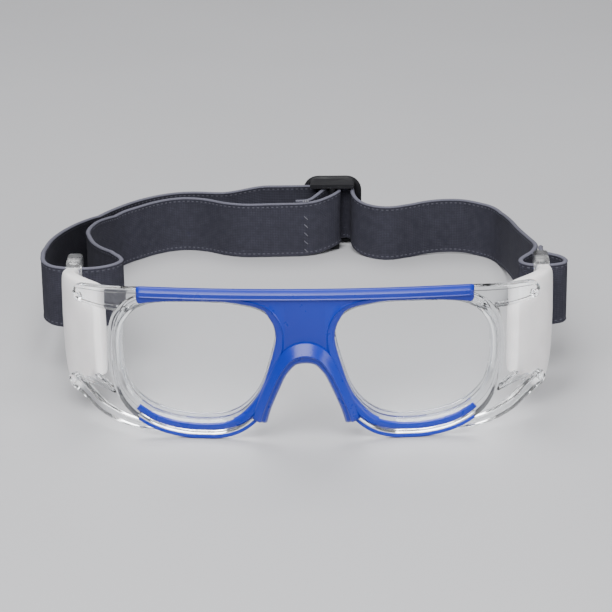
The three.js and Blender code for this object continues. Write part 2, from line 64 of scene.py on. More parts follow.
FRONT_HEIGHT = BROW_BOX[1][2] / MM
BROW_HALF = (BROW_BOX[1][0] - BROW_BOX[0][0]) / 2 / MM
WRAP_RADIUS = 350
RIM_WIDTH = 4.2
RIM_FOOT = 6
RIM_DEPTH = 7
LIP_DEPTH = 2
GROOVE_WIDTH = 2.6
GROOVE_DEPTH = 1.6
GAP = 0.3
RIM_STATIONS = 160

ARM_THICKNESS = 2.4
PAD_THICKNESS = 5

STRAP_WIDTH = 20
STRAP_THICKNESS = 1.5
STRAP_TEMPLE_Z = 17
STRAP_BUCKLE_Z = 2.5
STRAP_LANDING_Y = 150
SWING_Y = 62
SLOT_Y = 48.5
SLOT_WIDTH = 2.7
TAB_X = 71.9
TAB_THICKNESS = 4.6
TAB_BAR = 3.2
TAB_WALL = 3.4

BUCKLE_X = (BUCKLE_BOX[0][0] + BUCKLE_BOX[1][0]) / 2 / MM - MIDDLE_X / MM
BUCKLE_WIDTH = (BUCKLE_BOX[1][0] - BUCKLE_BOX[0][0]) / MM
BUCKLE_HEIGHT = BUCKLE_BOX[1][2] / MM
BUCKLE_THICKNESS = 2.6
BUCKLE_Y = (BUCKLE_BOX[1][1] - FRONT_Y) / MM - BUCKLE_THICKNESS / 2
BUCKLE_BAR = 3
CENTRE_BAR_Y = 170.4
CENTRE_BAR_RADIUS = 1.2
BUCKLE_TRAVEL = 20
RUN_Y = 175.2


def place(p):
    """A point in millimetres from the goggles' middle, in the frame's metres."""
    return Vector((MIDDLE_X + p[0] * MM, FRONT_Y + p[1] * MM, p[2] * MM))


def wrap(x):
    return x * x / (2 * WRAP_RADIUS)


def smooth(value, low, high):
    t = min(1.0, max(0.0, (value - low) / (high - low)))
    return t * t * (3 - 2 * t)


def mix(a, b, t):
    return a + (b - a) * t


# ---- camera -------------------------------------------------------------------------------------

CAMERA_PLACE = (13.8, -640.6, 283.3)
CAMERA_TURN = math.radians(1.2)
CAMERA_PITCH = math.radians(20.64)
CAMERA_ROLL = math.radians(0.83)
CAMERA_LENS = 139.6


def add_camera():
    camera = bpy.data.objects.new("camera", bpy.data.cameras.new("camera"))
    bpy.context.collection.objects.link(camera)
    camera.data.lens = CAMERA_LENS
    camera.data.sensor_width = 36
    turn = Matrix.Rotation(CAMERA_TURN, 4, "Z")
    pitch = Matrix.Rotation(math.pi / 2 - CAMERA_PITCH, 4, "X")
    roll = Matrix.Rotation(-CAMERA_ROLL, 4, "Z")
    camera.matrix_world = Matrix.Translation(place(CAMERA_PLACE)) @ turn @ pitch @ roll
    bpy.context.scene.camera = camera


add_camera()


# ---- curves and lofts ---------------------------------------------------------------------------


class Curve:
    """A centripetal Catmull-Rom curve, read by share of its length."""

    STEPS = 24

    def __init__(self, points, closed=False):
        self.closed = closed
        pts = [Vector(p) for p in points]
        count = len(pts)
        spans = count if closed else count - 1
        self.line = []
        for i in range(spans):
            if closed:
                four = [pts[(i + k) % count] for k in (-1, 0, 1, 2)]
            else:
                before = pts[i - 1] if i else 2 * pts[0] - pts[1]
                after = pts[i + 2] if i + 2 < count else 2 * pts[-1] - pts[-2]
                four = [before, pts[i], pts[i + 1], after]
            self.line += [self.span(four, k / self.STEPS) for k in range(self.STEPS)]
        self.line.append(pts[0] if closed else pts[-1])
        self.reach = [0.0]
        for a, b in zip(self.line, self.line[1:]):
            self.reach.append(self.reach[-1] + (b - a).length)
        self.length = self.reach[-1]

    @staticmethod
    def span(four, share):
        p0, p1, p2, p3 = four
        t1 = max(1e-4, (p1 - p0).length ** 0.5)
        t2 = t1 + max(1e-4, (p2 - p1).length ** 0.5)
        t3 = t2 + max(1e-4, (p3 - p2).length ** 0.5)
        t = mix(t1, t2, share)
        a1 = p0.lerp(p1, t / t1)
        a2 = p1.lerp(p2, (t - t1) / (t2 - t1))
        a3 = p2.lerp(p3, (t - t2) / (t3 - t2))
        b1 = a1.lerp(a2, t / t2)
        b2 = a2.lerp(a3, (t - t1) / (t3 - t1))
        return b1.lerp(b2, (t - t1) / (t2 - t1))

    def at(self, share):
        want = (share % 1 if self.closed else min(1, max(0, share))) * self.length
        low, high = 0, len(self.reach) - 1
        while high - low > 1:
            middle = (low + high) // 2
            if self.reach[middle] <= want:
                low = middle
            else:
                high = middle
        step = max(1e-9, self.reach[high] - self.reach[low])
        return self.line[low].lerp(self.line[high], (want - self.reach[low]) / step)

    def tangent(self, share):
        delta = 0.6 / self.length
        if self.closed:
            return (self.at(share + delta) - self.at(share - delta)).normalized()
        low, high = max(0, share - delta), min(1, share + delta)
        return (self.at(high) - self.at(low)).normalized()


def mesh_object(name, points, faces, sharp=35):
    mesh = bpy.data.meshes.new(name)
    mesh.from_pydata([place(p) for p in points], [], faces)
    built = bmesh.new()
    built.from_mesh(mesh)
    bmesh.ops.recalc_face_normals(built, faces=built.faces)
    built.to_mesh(mesh)
    built.free()
    thing = bpy.data.objects.new(name, mesh)
    bpy.context.collection.objects.link(thing)
    shade(thing, sharp)
    return thing


def shade(thing, sharp):
    mesh = thing.data
    for polygon in mesh.polygons:
        polygon.use_smooth = True
    mesh.set_sharp_from_angle(angle=math.radians(sharp))


def loft_data(sections, closed=False):
    size = len(sections[0])
    points = [p for section in sections for p in section]
    faces = []
    for s in range(len(sections) if closed else len(sections) - 1):
        here, there = s * size, (s + 1) % len(sections) * size
        for i in range(size):
            j = (i + 1) % size
            faces.append((here + i, here + j, there + j, there + i))
    if not closed:
        faces.append(tuple(range(size)))
        last = (len(sections) - 1) * size
        faces.append(tuple(last + i for i in range(size)))
    return points, faces


def loft(name, sections, closed=False, sharp=35):
    return mesh_object(name, *loft_data(sections, closed), sharp=sharp)


def mirror_sections(sections):
    return [[(-p[0], p[1], p[2]) for p in section] for section in sections]


def join(name, things):
    """Makes one object of several that don't meet."""
    built = bmesh.new()
    for thing in things:
        built.from_mesh(thing.data)
        bpy.data.objects.remove(thing)
    mesh = bpy.data.meshes.new(name)
    built.to_mesh(mesh)
    built.free()
    whole = bpy.data.objects.new(name, mesh)
    bpy.context.collection.objects.link(whole)
    return whole


def combine(body, others, operation):
    """Joins or cuts closed meshes into body and leaves its plain mesh."""
    for other in others:
        modifier = body.modifiers.new("combine", "BOOLEAN")
        modifier.operation = operation
        modifier.solver = "EXACT"
        modifier.object = other
    graph = bpy.context.evaluated_depsgraph_get()
    result = bpy.data.meshes.new_from_object(body.evaluated_get(graph))
    body.modifiers.clear()
    body.data = result
    for other in others:
        bpy.data.objects.remove(other)
    return body


def rounded_section(half_width, half_height, radius, steps=4):
    """Corners of a rounded rectangle about the origin, as (across, up) pairs."""
    points = []
    for sx, sy, start in ((1, 1, 0), (-1, 1, 90), (-1, -1, 180), (1, -1, 270)):
        for k in range(steps + 1):
            angle = math.radians(start + 90 * k / steps)
            points.append((
                sx * (half_width - radius) + radius * math.cos(angle),
                sy * (half_height - radius) + radius * math.sin(angle),
            ))
    return points


# ---- lens openings and rims ---------------------------------------------------------------------

OPENING = Curve([
    (8.9, 0, 33.5), (10.8, 0, 23.2), (14.8, 0, 13.1), (21.7, 0, 7.2), (34, 0, 6), (45, 0, 8.8),
    (51.7, 0, 14.8), (53.9, 0, 26), (52.4, 0, 36.3), (46.5, 0, 41), (34, 0, 42.1), (20, 0, 41.6),
    (11.5, 0, 38.9),
], closed=True)
OPENING_MIDDLE = Vector((31.5, 0, 24.5))


def ring(share, offset):
    """A point of the lens opening's outline, moved outwards in the front plane."""
    p = OPENING.at(share)
    t = OPENING.tangent(share)
    return Vector((p.x + t.z * offset, 0, p.z - t.x * offset))


OUTWARD = 1 if ring(0, 1).x < ring(0, 0).x else -1


def on_front(share, offset, depth):
    p = ring(share, OUTWARD * offset)
    return (p.x, wrap(p.x) + depth, p.z)


def rim_width(share):
    """Opening to outer edge: wider where the goggles stand, and flat on the floor and under the brow."""
    inner = ring(share, 0)
    direction = ring(share, OUTWARD) - inner
    width = RIM_WIDTH + (RIM_FOOT - RIM_WIDTH) * max(0, -direction.z) ** 2
    if direction.z < -0.2:
        width = min(width, inner.z / -direction.z)
    if direction.z > 0.2:
        width = min(width, (FRONT_HEIGHT - 0.6 - inner.z) / direction.z)
    return width


def rim_back_width(share, width):
    """The rim's upper side slopes in towards the back, so it stays hidden behind the brow bar."""
    up = smooth((ring(share, OUTWARD) - ring(share, 0)).z, 0.3, 0.9)
    return max(1.9, width - 2.4 * up)


def rim_section(share):
    """Front: a bevelled lip round the opening, a shallow channel and an outer bead. Back: a lens groove."""
    w = rim_width(share)
    b = rim_back_width(share, w)
    groove_back = LIP_DEPTH + GROOVE_WIDTH
    outline = [
        (1.7, 0), (2.1, 0.12), (2.4, 0.55), (w - 1.5, 0.55), (w - 1.2, 0.12), (w - 0.9, 0),
        (w - 0.45, 0), (w - 0.12, 0.15), (w, 0.6), (b, RIM_DEPTH - 0.8), (b - 0.25, RIM_DEPTH - 0.2),
        (b - 0.8, RIM_DEPTH), (0.9, RIM_DEPTH), (0.3, RIM_DEPTH - 0.3), (0, RIM_DEPTH - 0.9),
        (0, groove_back), (GROOVE_DEPTH, groove_back), (GROOVE_DEPTH, LIP_DEPTH), (0, LIP_DEPTH),
        (0, 1.5), (0.2, 1.15), (1.05, 0.12), (1.3, 0),
    ]
    return [on_front(share, offset, depth) for offset, depth in outline]


def rim_sections():
    return [rim_section(i / RIM_STATIONS) for i in range(RIM_STATIONS)]


# ---- clear front frame --------------------------------------------------------------------------

UPPER_ARM = [(47, 4.3, 42.9), (53.5, 5.5, 42.7), (58.5, 7.7, 42.3), (62, 10.4, 42), (65.3, 13.6, 41.6),
             (68.2, 16.8, 41.2)]
LOWER_ARM = [(44, 4.2, 3), (50, 4.7, 3.8), (55, 5.9, 5.3), (60.3, 8.9, 7.4), (64.2, 12.5, 9.8),
             (67.4, 15.7, 11.6), (70.6, 19.5, 12.4)]
RIBS = [[(56.4, 6, 13.6), (59.2, 7.9, 15.6), (62.2, 10.6, 16.8)],
        [(56.4, 6, 13.4), (61.8, 10.2, 14.4), (66.6, 14.9, 14.1)]]


def channel_section(half_width, half_height, corner):
    """A rounded bar with a shallow channel along its outer face."""
    points = rounded_section(half_width, half_height, corner)
    middle = (half_height - corner) * 0.8
    depth = min(0.45, middle * 0.4)
    face = [(half_width, -middle), (half_width - depth, depth - middle),
            (half_width - depth, middle - depth), (half_width, middle)]
    return points + face


def bar_sections(points, half_height, thickness, corner, steps):
    """An upright bar with rounded edges and a rounded far end, along a curve."""
    curve = Curve(points)
    sections = []
    for i in range(steps + 1):
        share = i / steps
        p = curve.at(share)
        t = curve.tangent(share)
        side = Vector((t.y, -t.x, 0)).normalized()
        half = half_height(share)
        from_end = (1 - share) * curve.length
        if from_end < half:
            half *= max(0.35, math.sqrt(1 - (1 - from_end / half) ** 2))
        shape = channel_section(thickness / 2, half, min(corner, half * 0.9))
        sections.append([(p.x + side.x * a, p.y + side.y * a, p.z + up) for a, up in shape])
    return sections


def bridge_sections():
    """The web between the rims, its top sloping down to the back."""
    half, steps = 9, 24
    top, back = FRONT_HEIGHT - 0.8, RIM_DEPTH - 1
    sections = []
    for i in range(steps + 1):
        x = mix(-half, half, i / steps)
        low = 29.6 + abs(x) / half * 1.2
        shape = [(0.4, low), (back - 0.4, low), (back, low + 0.4), (back, top - 2.8),
                 (back - 0.5, top - 2.2), (0.8, top), (0.2, top - 0.1), (0, top - 0.5), (0, low + 0.4)]
        sections.append([(x, wrap(x) + depth, z) for depth, z in shape])
    return sections


def opening_cutter(side):
    """Clears what the bridge and arms would fill of an opening and its lens groove."""
    back = LIP_DEPTH + GROOVE_WIDTH
    steps = [(1.3, -1), (1.3, 0), (1.05, 0.12), (0.2, 1.15), (0, 1.5), (0, LIP_DEPTH),
             (GROOVE_DEPTH, LIP_DEPTH), (GROOVE_DEPTH, back), (0, back), (0, RIM_DEPTH - 0.9),
             (0.3, RIM_DEPTH - 0.3), (0.9, RIM_DEPTH), (0.9, RIM_DEPTH + 1)]
    sections = [
        [on_front(i / RIM_STATIONS, offset, depth) for i in range(RIM_STATIONS)]
        for offset, depth in steps
    ]
    return loft("cutter", sections if side > 0 else mirror_sections(sections))


def front_frame():
    rim = rim_sections()
    arms = [
        bar_sections(UPPER_ARM, lambda s: 3.6 - 1.1 * s ** 3, ARM_THICKNESS, 0.7, 48),
        bar_sections(LOWER_ARM, lambda s: 1.4 + 1.1 * s, ARM_THICKNESS, 0.7, 48),
    ]
    arms += [bar_sections(points, lambda s: 0.6, 1.4, 0.4, 16) for points in RIBS]
    arms.append(trim_rail(3.3, 4.65, 0.9))
    body = loft("clear_front", rim, closed=True)
    others = [loft("rim", mirror_sections(rim), closed=True), loft("bridge", bridge_sections())]
    for sections in arms:
        others += [loft("arm", sections), loft("arm", mirror_sections(sections))]
    combine(body, others, "UNION")
    combine(body, [opening_cutter(1), opening_cutter(-1)], "DIFFERENCE")
    shade(body, 30)
    return body


def lens(side):
    """A clear plate with a bevelled edge, held in the groove."""
    edge = GROOVE_DEPTH - GAP
    front, back = LIP_DEPTH + GAP, LIP_DEPTH + GROOVE_WIDTH - GAP
    faces = [(edge - 0.4, front), (edge, front + 0.4), (edge, back - 0.4), (edge - 0.4, back)]
    sections = [lens_ring(front, share) for share in (0.02, 0.25, 0.5, 0.75)]
    sections += [[on_front(i / RIM_STATIONS, offset, depth) for i in range(RIM_STATIONS)]
                 for offset, depth in faces]
    sections += [lens_ring(back, share) for share in (0.75, 0.5, 0.25, 0.02)]
    return sections if side > 0 else mirror_sections(sections)


def lens_ring(depth, share):
    """The lens outline drawn in towards its middle, on the wrapped face."""
    points = []
    for i in range(RIM_STATIONS):
        edge = Vector(on_front(i / RIM_STATIONS, 0, 0))
        p = OPENING_MIDDLE.lerp(edge, share)
        points.append((p.x, wrap(p.x) + depth, p.z))
    return points


# ---- coloured front pieces ----------------------------------------------------------------------

COVER_EDGE = 1.1              # clear bevel left round a lens opening
COVER_NOSE_EDGE = 0.3         # and beside the nose
COVER_FRONT = 1.1
LINING_WIDTH = 3
BORDER_WIDTH = 2.1            # of the border where it runs above a lens
BROW_EDGE = Curve([
    (0, 0, 28), (5.8, 0, 27.6), (7.3, 0, 28.4), (7.6, 0, 32), (8.4, 0, 36), (10.7, 0, 39.9),
    (13.4, 0, 41.9), (20, 0, 43), (34, 0, 43.2), (44, 0, 42.6), (BROW_HALF, 0, 41.8),
])
RIDGE_Z = 44.5                # thin ridge along the foot of the brow bar
BAR_CREST_Z = FRONT_HEIGHT - 1.2
BROW_STEP = 0.3


def nearest_share(x, z):
    """Share of the lens opening's outline nearest to a point."""
    shares = [i / 400 for i in range(400)]
    return min(shares, key=lambda share: (OPENING.at(share) - Vector((x, 0, z))).length)


NOSE_SIDE = [(13.7, 0, 6.2), (12.4, 0, 10.6), (9.2, 0, 18.4), (7.2, 0, 22.4), (4, 0, 26.5)]
NOSE_PATH = Curve(NOSE_SIDE + [(0, 0, 27.7)] + [(-x, y, z) for x, y, z in reversed(NOSE_SIDE)])


def height_on(table, where):
    """Height of an edge curve at a place along its first axis."""
    low, high = 0.0, 1.0
    for _ in range(24):
        middle = (low + high) / 2
        if table.at(middle).x < where:
            low = middle
        else:
            high = middle
    return table.at(low).z


def brow_section(x):
    """An upright slice: flat panel, ridge, swelling bar and a bevel back to the top."""
    end = BROW_HALF - abs(x)
    round_off = 1 - math.sqrt(max(0.0, 1 - (1 - min(1, end / 1.3)) ** 2))
    low = height_on(BROW_EDGE, abs(x)) + 1.2 * round_off
    size = mix(1, 0.35, round_off)
    top = FRONT_HEIGHT - 0.4 * round_off
    profile = [
        (low, -0.1), (low, 0.5), (low + 0.25, 0.85), (low + 0.6, 1), (RIDGE_Z - 0.25, COVER_FRONT),
        (RIDGE_Z - 0.2, 1.7), (RIDGE_Z - 0.05, 2), (RIDGE_Z + 0.15, 1.75), (RIDGE_Z + 0.35, 1.7),
        (BAR_CREST_Z - 0.25, 1.9), (BAR_CREST_Z, 1.9), (BAR_CREST_Z + 0.15, 1.8), (top - 0.2, 0.7),
        (top - 0.05, 0.45), (top, 0.1), (top, -0.6), (top - 0.6, -0.6),
    ]
    return [(x, wrap(x) - (forward * size if forward > 0 else forward), z) for z, forward in profile]


def lining_sections():
    """The cover's border, following the lens opening from the brow down to the nose pad's end."""
    first, last = nearest_share(38, 42), 1 + nearest_share(21.7, 7.2)
    steps = 150
    profile = [
        (0, -1.2), (0, 0.3), (0.2, 0.7), (0.6, 1), (1.2, COVER_FRONT), (1.38, COVER_FRONT + 0.05),
        (1.5, COVER_FRONT + 0.35), (1.65, COVER_FRONT + 0.1), (1.9, COVER_FRONT - 0.12),
        (BORDER_WIDTH, COVER_FRONT - 0.3), (BORDER_WIDTH, -0.1),
    ]
    sections = []
    for i in range(steps + 1):
        share = mix(first, last, i / steps)
        from_end = min(i, steps - i) / steps * (last - first) * OPENING.length
        size = mix(0.6, 1, smooth(from_end, 0, 1.5))
        to_nose = (ring(share, 0) - ring(share, OUTWARD)).x
        beside_nose = smooth(to_nose, 0.45, 0.85)
        edge = mix(COVER_EDGE, COVER_NOSE_EDGE, beside_nose)
        stretch = mix(1, LINING_WIDTH / BORDER_WIDTH, beside_nose)
        sections.append([
            on_front(share, edge + across * stretch, -(forward * size if forward > 0 else forward))
            for across, forward in profile
        ])
    return sections


def brow_cover():
    count = math.ceil(2 * BROW_HALF / BROW_STEP)
    body = loft("brow_cover_shell", [brow_section(mix(-BROW_HALF, BROW_HALF, i / count))
                                     for i in range(count + 1)])
    lining = lining_sections()
    combine(body, [loft("lining", lining), loft("lining", mirror_sections(lining))], "UNION")
    shade(body, 40)
    return body


def nose_pad():
    """A horseshoe whose band slopes forwards to a crisp edge, then falls back to the lip under it."""
    profile = [
        (1, 0.9), (0.94, 1.5), (0.75, 2.0), (0.45, 2.8), (0.16, 3.6), (0.06, 3.8), (-0.03, 3.75),
        (-0.1, 3.4), (-0.28, 2.6), (-0.42, 2.35), (-0.56, 2.4), (-0.66, 2.25), (-0.84, 1.5), (-1, 0.7),
        (-1, -0.6), (-0.8, -0.9),
        (0.8, -0.9), (1, -0.6),
    ]
    steps = 120
    sections = []
    for i in range(steps + 1):
        share = i / steps
        p = NOSE_PATH.at(share)
        t = NOSE_PATH.tangent(share)
        across = Vector((t.z, 0, -t.x))
        crest = smooth(1 - abs(2 * share - 1), 0.6, 1)
        half = 2.25 + 1.1 * crest
        from_end = min(share, 1 - share) * NOSE_PATH.length
        lift = mix(0.6, 1, smooth(from_end, 0, 0.8))
        section = []
        for a, forward in profile:
            q = p + across * (a * half)
            section.append((q.x, wrap(q.x) - (forward * lift if forward > 0 else forward), q.z))
        sections.append(section)
    return loft("nose_pad_moulding", sections, sharp=28)


TRIM_FROM = nearest_share(15.4, 12)
TRIM_END_X = 49.6


def trim_rail(inner, outer, front):
    """A rounded strip along the lower front of the rim, out to where the arm starts."""
    steps = 90
    shares = [mix(TRIM_FROM, 0.5, i / 400) for i in range(400)]
    last = next(share for share in shares if on_front(share, (inner + outer) / 2, 0)[0] > TRIM_END_X)
    sections = []
    for i in range(steps + 1):
        share = mix(TRIM_FROM, last, i / steps)
        size = mix(0.6, 1, smooth(i / steps * (last - TRIM_FROM) * OPENING.length, 0, 0.8))
        middle, half = (inner + outer) / 2, (outer - inner) / 2 * size
        profile = [
            (-half, -0.5), (-half, front - 0.35), (-half + 0.12, front - 0.1), (-half + 0.4, front),
            (half - 0.4, front), (half - 0.12, front - 0.1), (half, front - 0.35), (half, -0.5),
        ]
        scale = (rim_width(share) - 1.2) / (RIM_FOOT - 1.2)
        sections.append([on_front(share, 1.2 + (middle - 1.2 + a) * scale, -forward)
                         for a, forward in profile])
    return sections


def lower_trim(name, side):
    """Two strips with the clear rim showing between them."""
    rails = [trim_rail(1.2, 3.2, 0.7), trim_rail(4.75, 5.9, 0.7)]
    things = [loft("rail", rail if side > 0 else mirror_sections(rail)) for rail in rails]
    whole = join(name, things)
    shade(whole, 35)
    return whole


# ---- temples ------------------------------------------------------------------------------------

TEMPLE = Curve([(58.2, 12.2, 0), (64.5, 18.4, 0), (69.9, 26, 0), (72, 34.5, 0), (72, 45, 0)])
PAD_LOW = Curve([(0, 0, 14.4), (0.14, 0, 15), (0.2, 0, 13.8), (0.26, 0, 11), (0.32, 0, 9), (0.42, 0, 8),
                 (0.5, 0, 8.6), (0.58, 0, 10.6), (0.7, 0, 14), (0.82, 0, 17.2), (1, 0, 19.6)])
PAD_HIGH = Curve([(0, 0, 42), (0.2, 0, 43.4), (0.45, 0, 43), (0.7, 0, 41), (1, 0, 38.4)])
PAD_FROM, PAD_TO = 0.08, 0.955


def temple_pad(name, side):
    """A soft moulded pad, full in the middle and rolled at its edges."""
    stations, around = 72, 48
    sections = []
    for i in range(stations + 1):
        share = mix(PAD_FROM, PAD_TO, 0.5 - 0.5 * math.cos(math.pi * i / stations))
        p = TEMPLE.at(share)
        t = TEMPLE.tangent(share)
        outward = Vector((t.y, -t.x, 0)).normalized()
        from_end = min(share - PAD_FROM, PAD_TO - share) * TEMPLE.length
        roll = math.sqrt(max(0.0, 1 - (1 - min(1.0, from_end / 1.3)) ** 2))
        thick = PAD_THICKNESS / 2 * max(0.35, roll)
        top = height_on(PAD_HIGH, share) - 0.8 * (1 - roll)
        low = height_on(PAD_LOW, share) + 0.8 * (1 - roll)
        middle, half = (top + low) / 2, (top - low) / 2
        section = []
        for k in range(around):
            angle = 2 * math.pi * k / around
            c, s = math.cos(angle), math.sin(angle)
            a = thick * math.copysign(abs(c) ** 0.42, c)
            up = half * math.copysign(abs(s) ** 0.16, s)
            crown = 1 - 0.1 * (up / half) ** 2
            section.append((p.x + outward.x * a * crown, p.y + outward.y * a * crown, middle + up))
        sections.append(section)
    if side < 0:
        sections = mirror_sections(sections)
    return loft(name, sections, sharp=80)


def rounded_outline(y0, y1, z0, z1, radius, steps=6):
    points = []
    corners = ((y1, z1, 0), (y0, z1, 90), (y0, z0, 180), (y1, z0, 270))
    for cy, cz, start in corners:
        for k in range(steps + 1):
            angle = math.radians(start + 90 * k / steps)
            inner_y = cy - math.copysign(radius, cy - (y0 + y1) / 2)
            inner_z = cz - math.copysign(radius, cz - (z0 + z1) / 2)
            points.append((inner_y + radius * math.cos(angle), inner_z + radius * math.sin(angle)))
    return points


def inset_plate(outline, x_middle, thickness, edge):
    """A plate facing along x, with its outline's edges rounded over."""
    cy = sum(p[0] for p in outline) / len(outline)
    cz = sum(p[1] for p in outline) / len(outline)
    sections = []
    half = thickness / 2
    for x, inset in ((-half, edge), (-half + 0.3 * edge, 0.3 * edge), (-half + edge, 0),
                     (half - edge, 0), (half - 0.3 * edge, 0.3 * edge), (half, edge)):
        section = []
        for y, z in outline:
            section.append((x_middle + x, y - math.copysign(min(inset, abs(y - cy)), y - cy),
                            z - math.copysign(min(inset, abs(z - cz)), z - cz)))
        sections.append(section)
    return sections


def temple_tab(name, side):
    """The slotted end of the temple blade, with a stub that runs on into the pad."""
    half = SLOT_WIDTH / 2
    low = STRAP_TEMPLE_Z - TAB_WALL
    high = STRAP_TEMPLE_Z + STRAP_WIDTH + TAB_WALL
    outer = rounded_outline(SLOT_Y - half - TAB_BAR, SLOT_Y + half + TAB_BAR, low, high, 1.8)
    slot = rounded_outline(SLOT_Y - half, SLOT_Y + half, STRAP_TEMPLE_Z - 0.6,
                           STRAP_TEMPLE_Z + STRAP_WIDTH + 0.6, 0.5)
    stub = rounded_outline(36, SLOT_Y - half - 1, low + 4, high - 4, 1)
    parts = [inset_plate(outer, TAB_X, TAB_THICKNESS, 0.8),
             inset_plate(slot, TAB_X, TAB_THICKNESS + 2, 0.01),
             inset_plate(stub, TAB_X, 1.6, 0.3)]
    if side < 0:
        parts = [mirror_sections(part) for part in parts]
    body, cutter, stub_body = [loft(name, part) for part in parts]
    combine(body, [stub_body], "UNION")
    combine(body, [cutter], "DIFFERENCE")
    shade(body, 35)
    return body


PINS = {"upper": (0.21, 40.3), "lower": (0.29, 13)}


def pin(name, side, share, height):
    """A turned pin with a domed head, seen on the outside of the arm."""
    p = TEMPLE.at(share)
    t = TEMPLE.tangent(share)
    outward = Vector((t.y, -t.x, 0)).normalized()
    face = PAD_THICKNESS / 2 + GAP + ARM_THICKNESS
    profile = [(0.02, -0.8), (1, -0.8), (1, face + 0.05), (1.3, face + 0.05), (1.3, face + 0.15)]
    profile += [(1.3 * math.cos(math.radians(a)), face + 0.15 + 0.3 * math.sin(math.radians(a)))
                for a in (15, 30, 50, 70, 88)]
    around = 28
    sections = []
    for radius, out in profile:
        section = []
        for k in range(around):
            angle = 2 * math.pi * k / around
            q = Vector((p.x, p.y, height)) + outward * out
            q += Vector((-outward.y, outward.x, 0)) * (radius * math.cos(angle))
            section.append((q.x, q.y, q.z + radius * math.sin(angle)))
        sections.append(section)
    if side < 0:
        sections = mirror_sections(sections)
    return loft(name, sections)


# ---- strap --------------------------------------------------------------------------------------

LONG_STRAP = [
    (73.4, 69), (73, 64.6), (73.4, 61), (75.8, 58.8), (78.4, 56.6), (79.8, 53.4), (79, 50.4),
    (76.2, 48.9), (71.9, SLOT_Y), (67.8, 49.4), (66, 51.8), (66.2, 54.4), (67.8, 57.4), (70, 61),
    (71.5, 66.4), (72, 76), (70.9, 90), (69.2, 112), (67.9, 135), (65.6, 152.4), (61.6, 159.3),
    (55.4, 162.8), (48.2, 163.7), (39.8, 162.6), (33.3, 160), (28, 157.8), (23.5, 158.2),
    (18.6, 161.4), (15.6, 164.6), (14.2, 168), (13.8, 172.4), (12.4, 174.7), (9.6, RUN_Y),
    (-12, RUN_Y), (-28, RUN_Y), (-35.5, 175.6), (-42.2, 176.4), (-48.5, 176), (-55.3, 173.2),
    (-62.5, 167.8), (-69.5, 159.4), (-75.6, 149), (-79.9, 134), (-83.1, 113), (-84.4, 92.5),
    (-84, 74), (-83.4, 62), (-82.4, 55.4), (-79.6, 51), (-75.8, 49.1), (-72, SLOT_Y), (-67, SLOT_Y),
    (-63, 49.9), (-59.6, 52.6), (-58.2, 55.8), (-59.2, 59.4), (-60.9, 62), (-65.6, 71.4),
    (-69.8, 84.2), (-72.5, 97),
]
INNER_STRAP = [
    (-72.5, 97), (-74.5, 110), (-74.9, 124), (-73.2, 140), (-67.4, 154.2), (-62.2, 160.2),
    (-57, 165.2), (-51, 168.8), (-44.8, 169.8), (-38, 167.9), (-31, 163.6), (-24.5, 161.6),
    (-15.8, 161.6), (-10, 161.8), (-4, 162.1), (0.6, 163.2), (4.6, 165.3), (7.8, 167.8), (9.3, 170),
    (8.6, 172.1), (6.6, 172.8), (4.2, 171.4), (1.6, 167.6), (-1.6, 164.3), (-6.2, 163.7),
]
EDGE_BEAD = 0.7


def strap_low(p):
    """Lower edge of the strap: level in the temples, down to the floor, lifted at the buckle."""
    fall = min(1, max(0, (p.y - SWING_Y - 2) / (STRAP_LANDING_Y - SWING_Y - 2)))
    lifted = BUCKLE_X - BUCKLE_TRAVEL - 3
    near_buckle = smooth(p.x, lifted - 18, lifted)
    return STRAP_TEMPLE_Z * (1 - fall) + STRAP_BUCKLE_Z * near_buckle * smooth(p.y, 160, 171)


def ribbon_profile():
    """Half the strap's section from its lower to its upper edge: (height, half thickness)."""
    half = STRAP_THICKNESS / 2
    edge = [(0, 0.12), (0.12, 0.55 * half), (0.4, 0.92 * half), (EDGE_BEAD * 0.7, half),
            (EDGE_BEAD, 0.93 * half), (EDGE_BEAD + 0.35, 0.8 * half)]
    inside = [(EDGE_BEAD + 0.35 + (STRAP_WIDTH - 2 * EDGE_BEAD - 0.7) * k / 8, 0.86 * half)
              for k in range(1, 8)]
    top = [(STRAP_WIDTH - z, w) for z, w in reversed(edge)]
    return edge + inside + top


def ribbon(name, route, step=1.2):
    """A length of webbing with beaded edges. Its UVs are millimetres along and up it."""
    curve = Curve([(x, y, 0) for x, y in route])
    count = math.ceil(curve.length / step)
    profile = ribbon_profile()
    size = 2 * len(profile)
    sections, along = [], []
    for i in range(count + 1):
        share = i / count
        p = curve.at(share)
        t = curve.tangent(share)
        side = Vector((t.y, -t.x, 0)).normalized()
        low = strap_low(p)
        front = [(p.x + side.x * w, p.y + side.y * w, low + z) for z, w in profile]
        back = [(p.x - side.x * w, p.y - side.y * w, low + z) for z, w in reversed(profile)]
        sections.append(front + back)
        along.append(share * curve.length)
    thing = loft(name, sections, sharp=60)
    heights = [z for z, _ in profile] + [z for z, _ in reversed(profile)]
    layer = thing.data.uv_layers.new(name="webbing")
    for loop in thing.data.loops:
        station, corner = divmod(loop.vertex_index, size)
        layer.data[loop.index].uv = (along[station] * MM * 10, heights[corner] * MM * 10)
    return thing, curve


# ---- buckle -------------------------------------------------------------------------------------

LOWER_CHEEK_HALF = 2.4
BUCKLE_CORNER = 5.4


def buckle_ring(width, height, radius, inset):
    return rounded_section(width / 2 - inset, height / 2 - inset, max(0.2, radius - inset), 8)


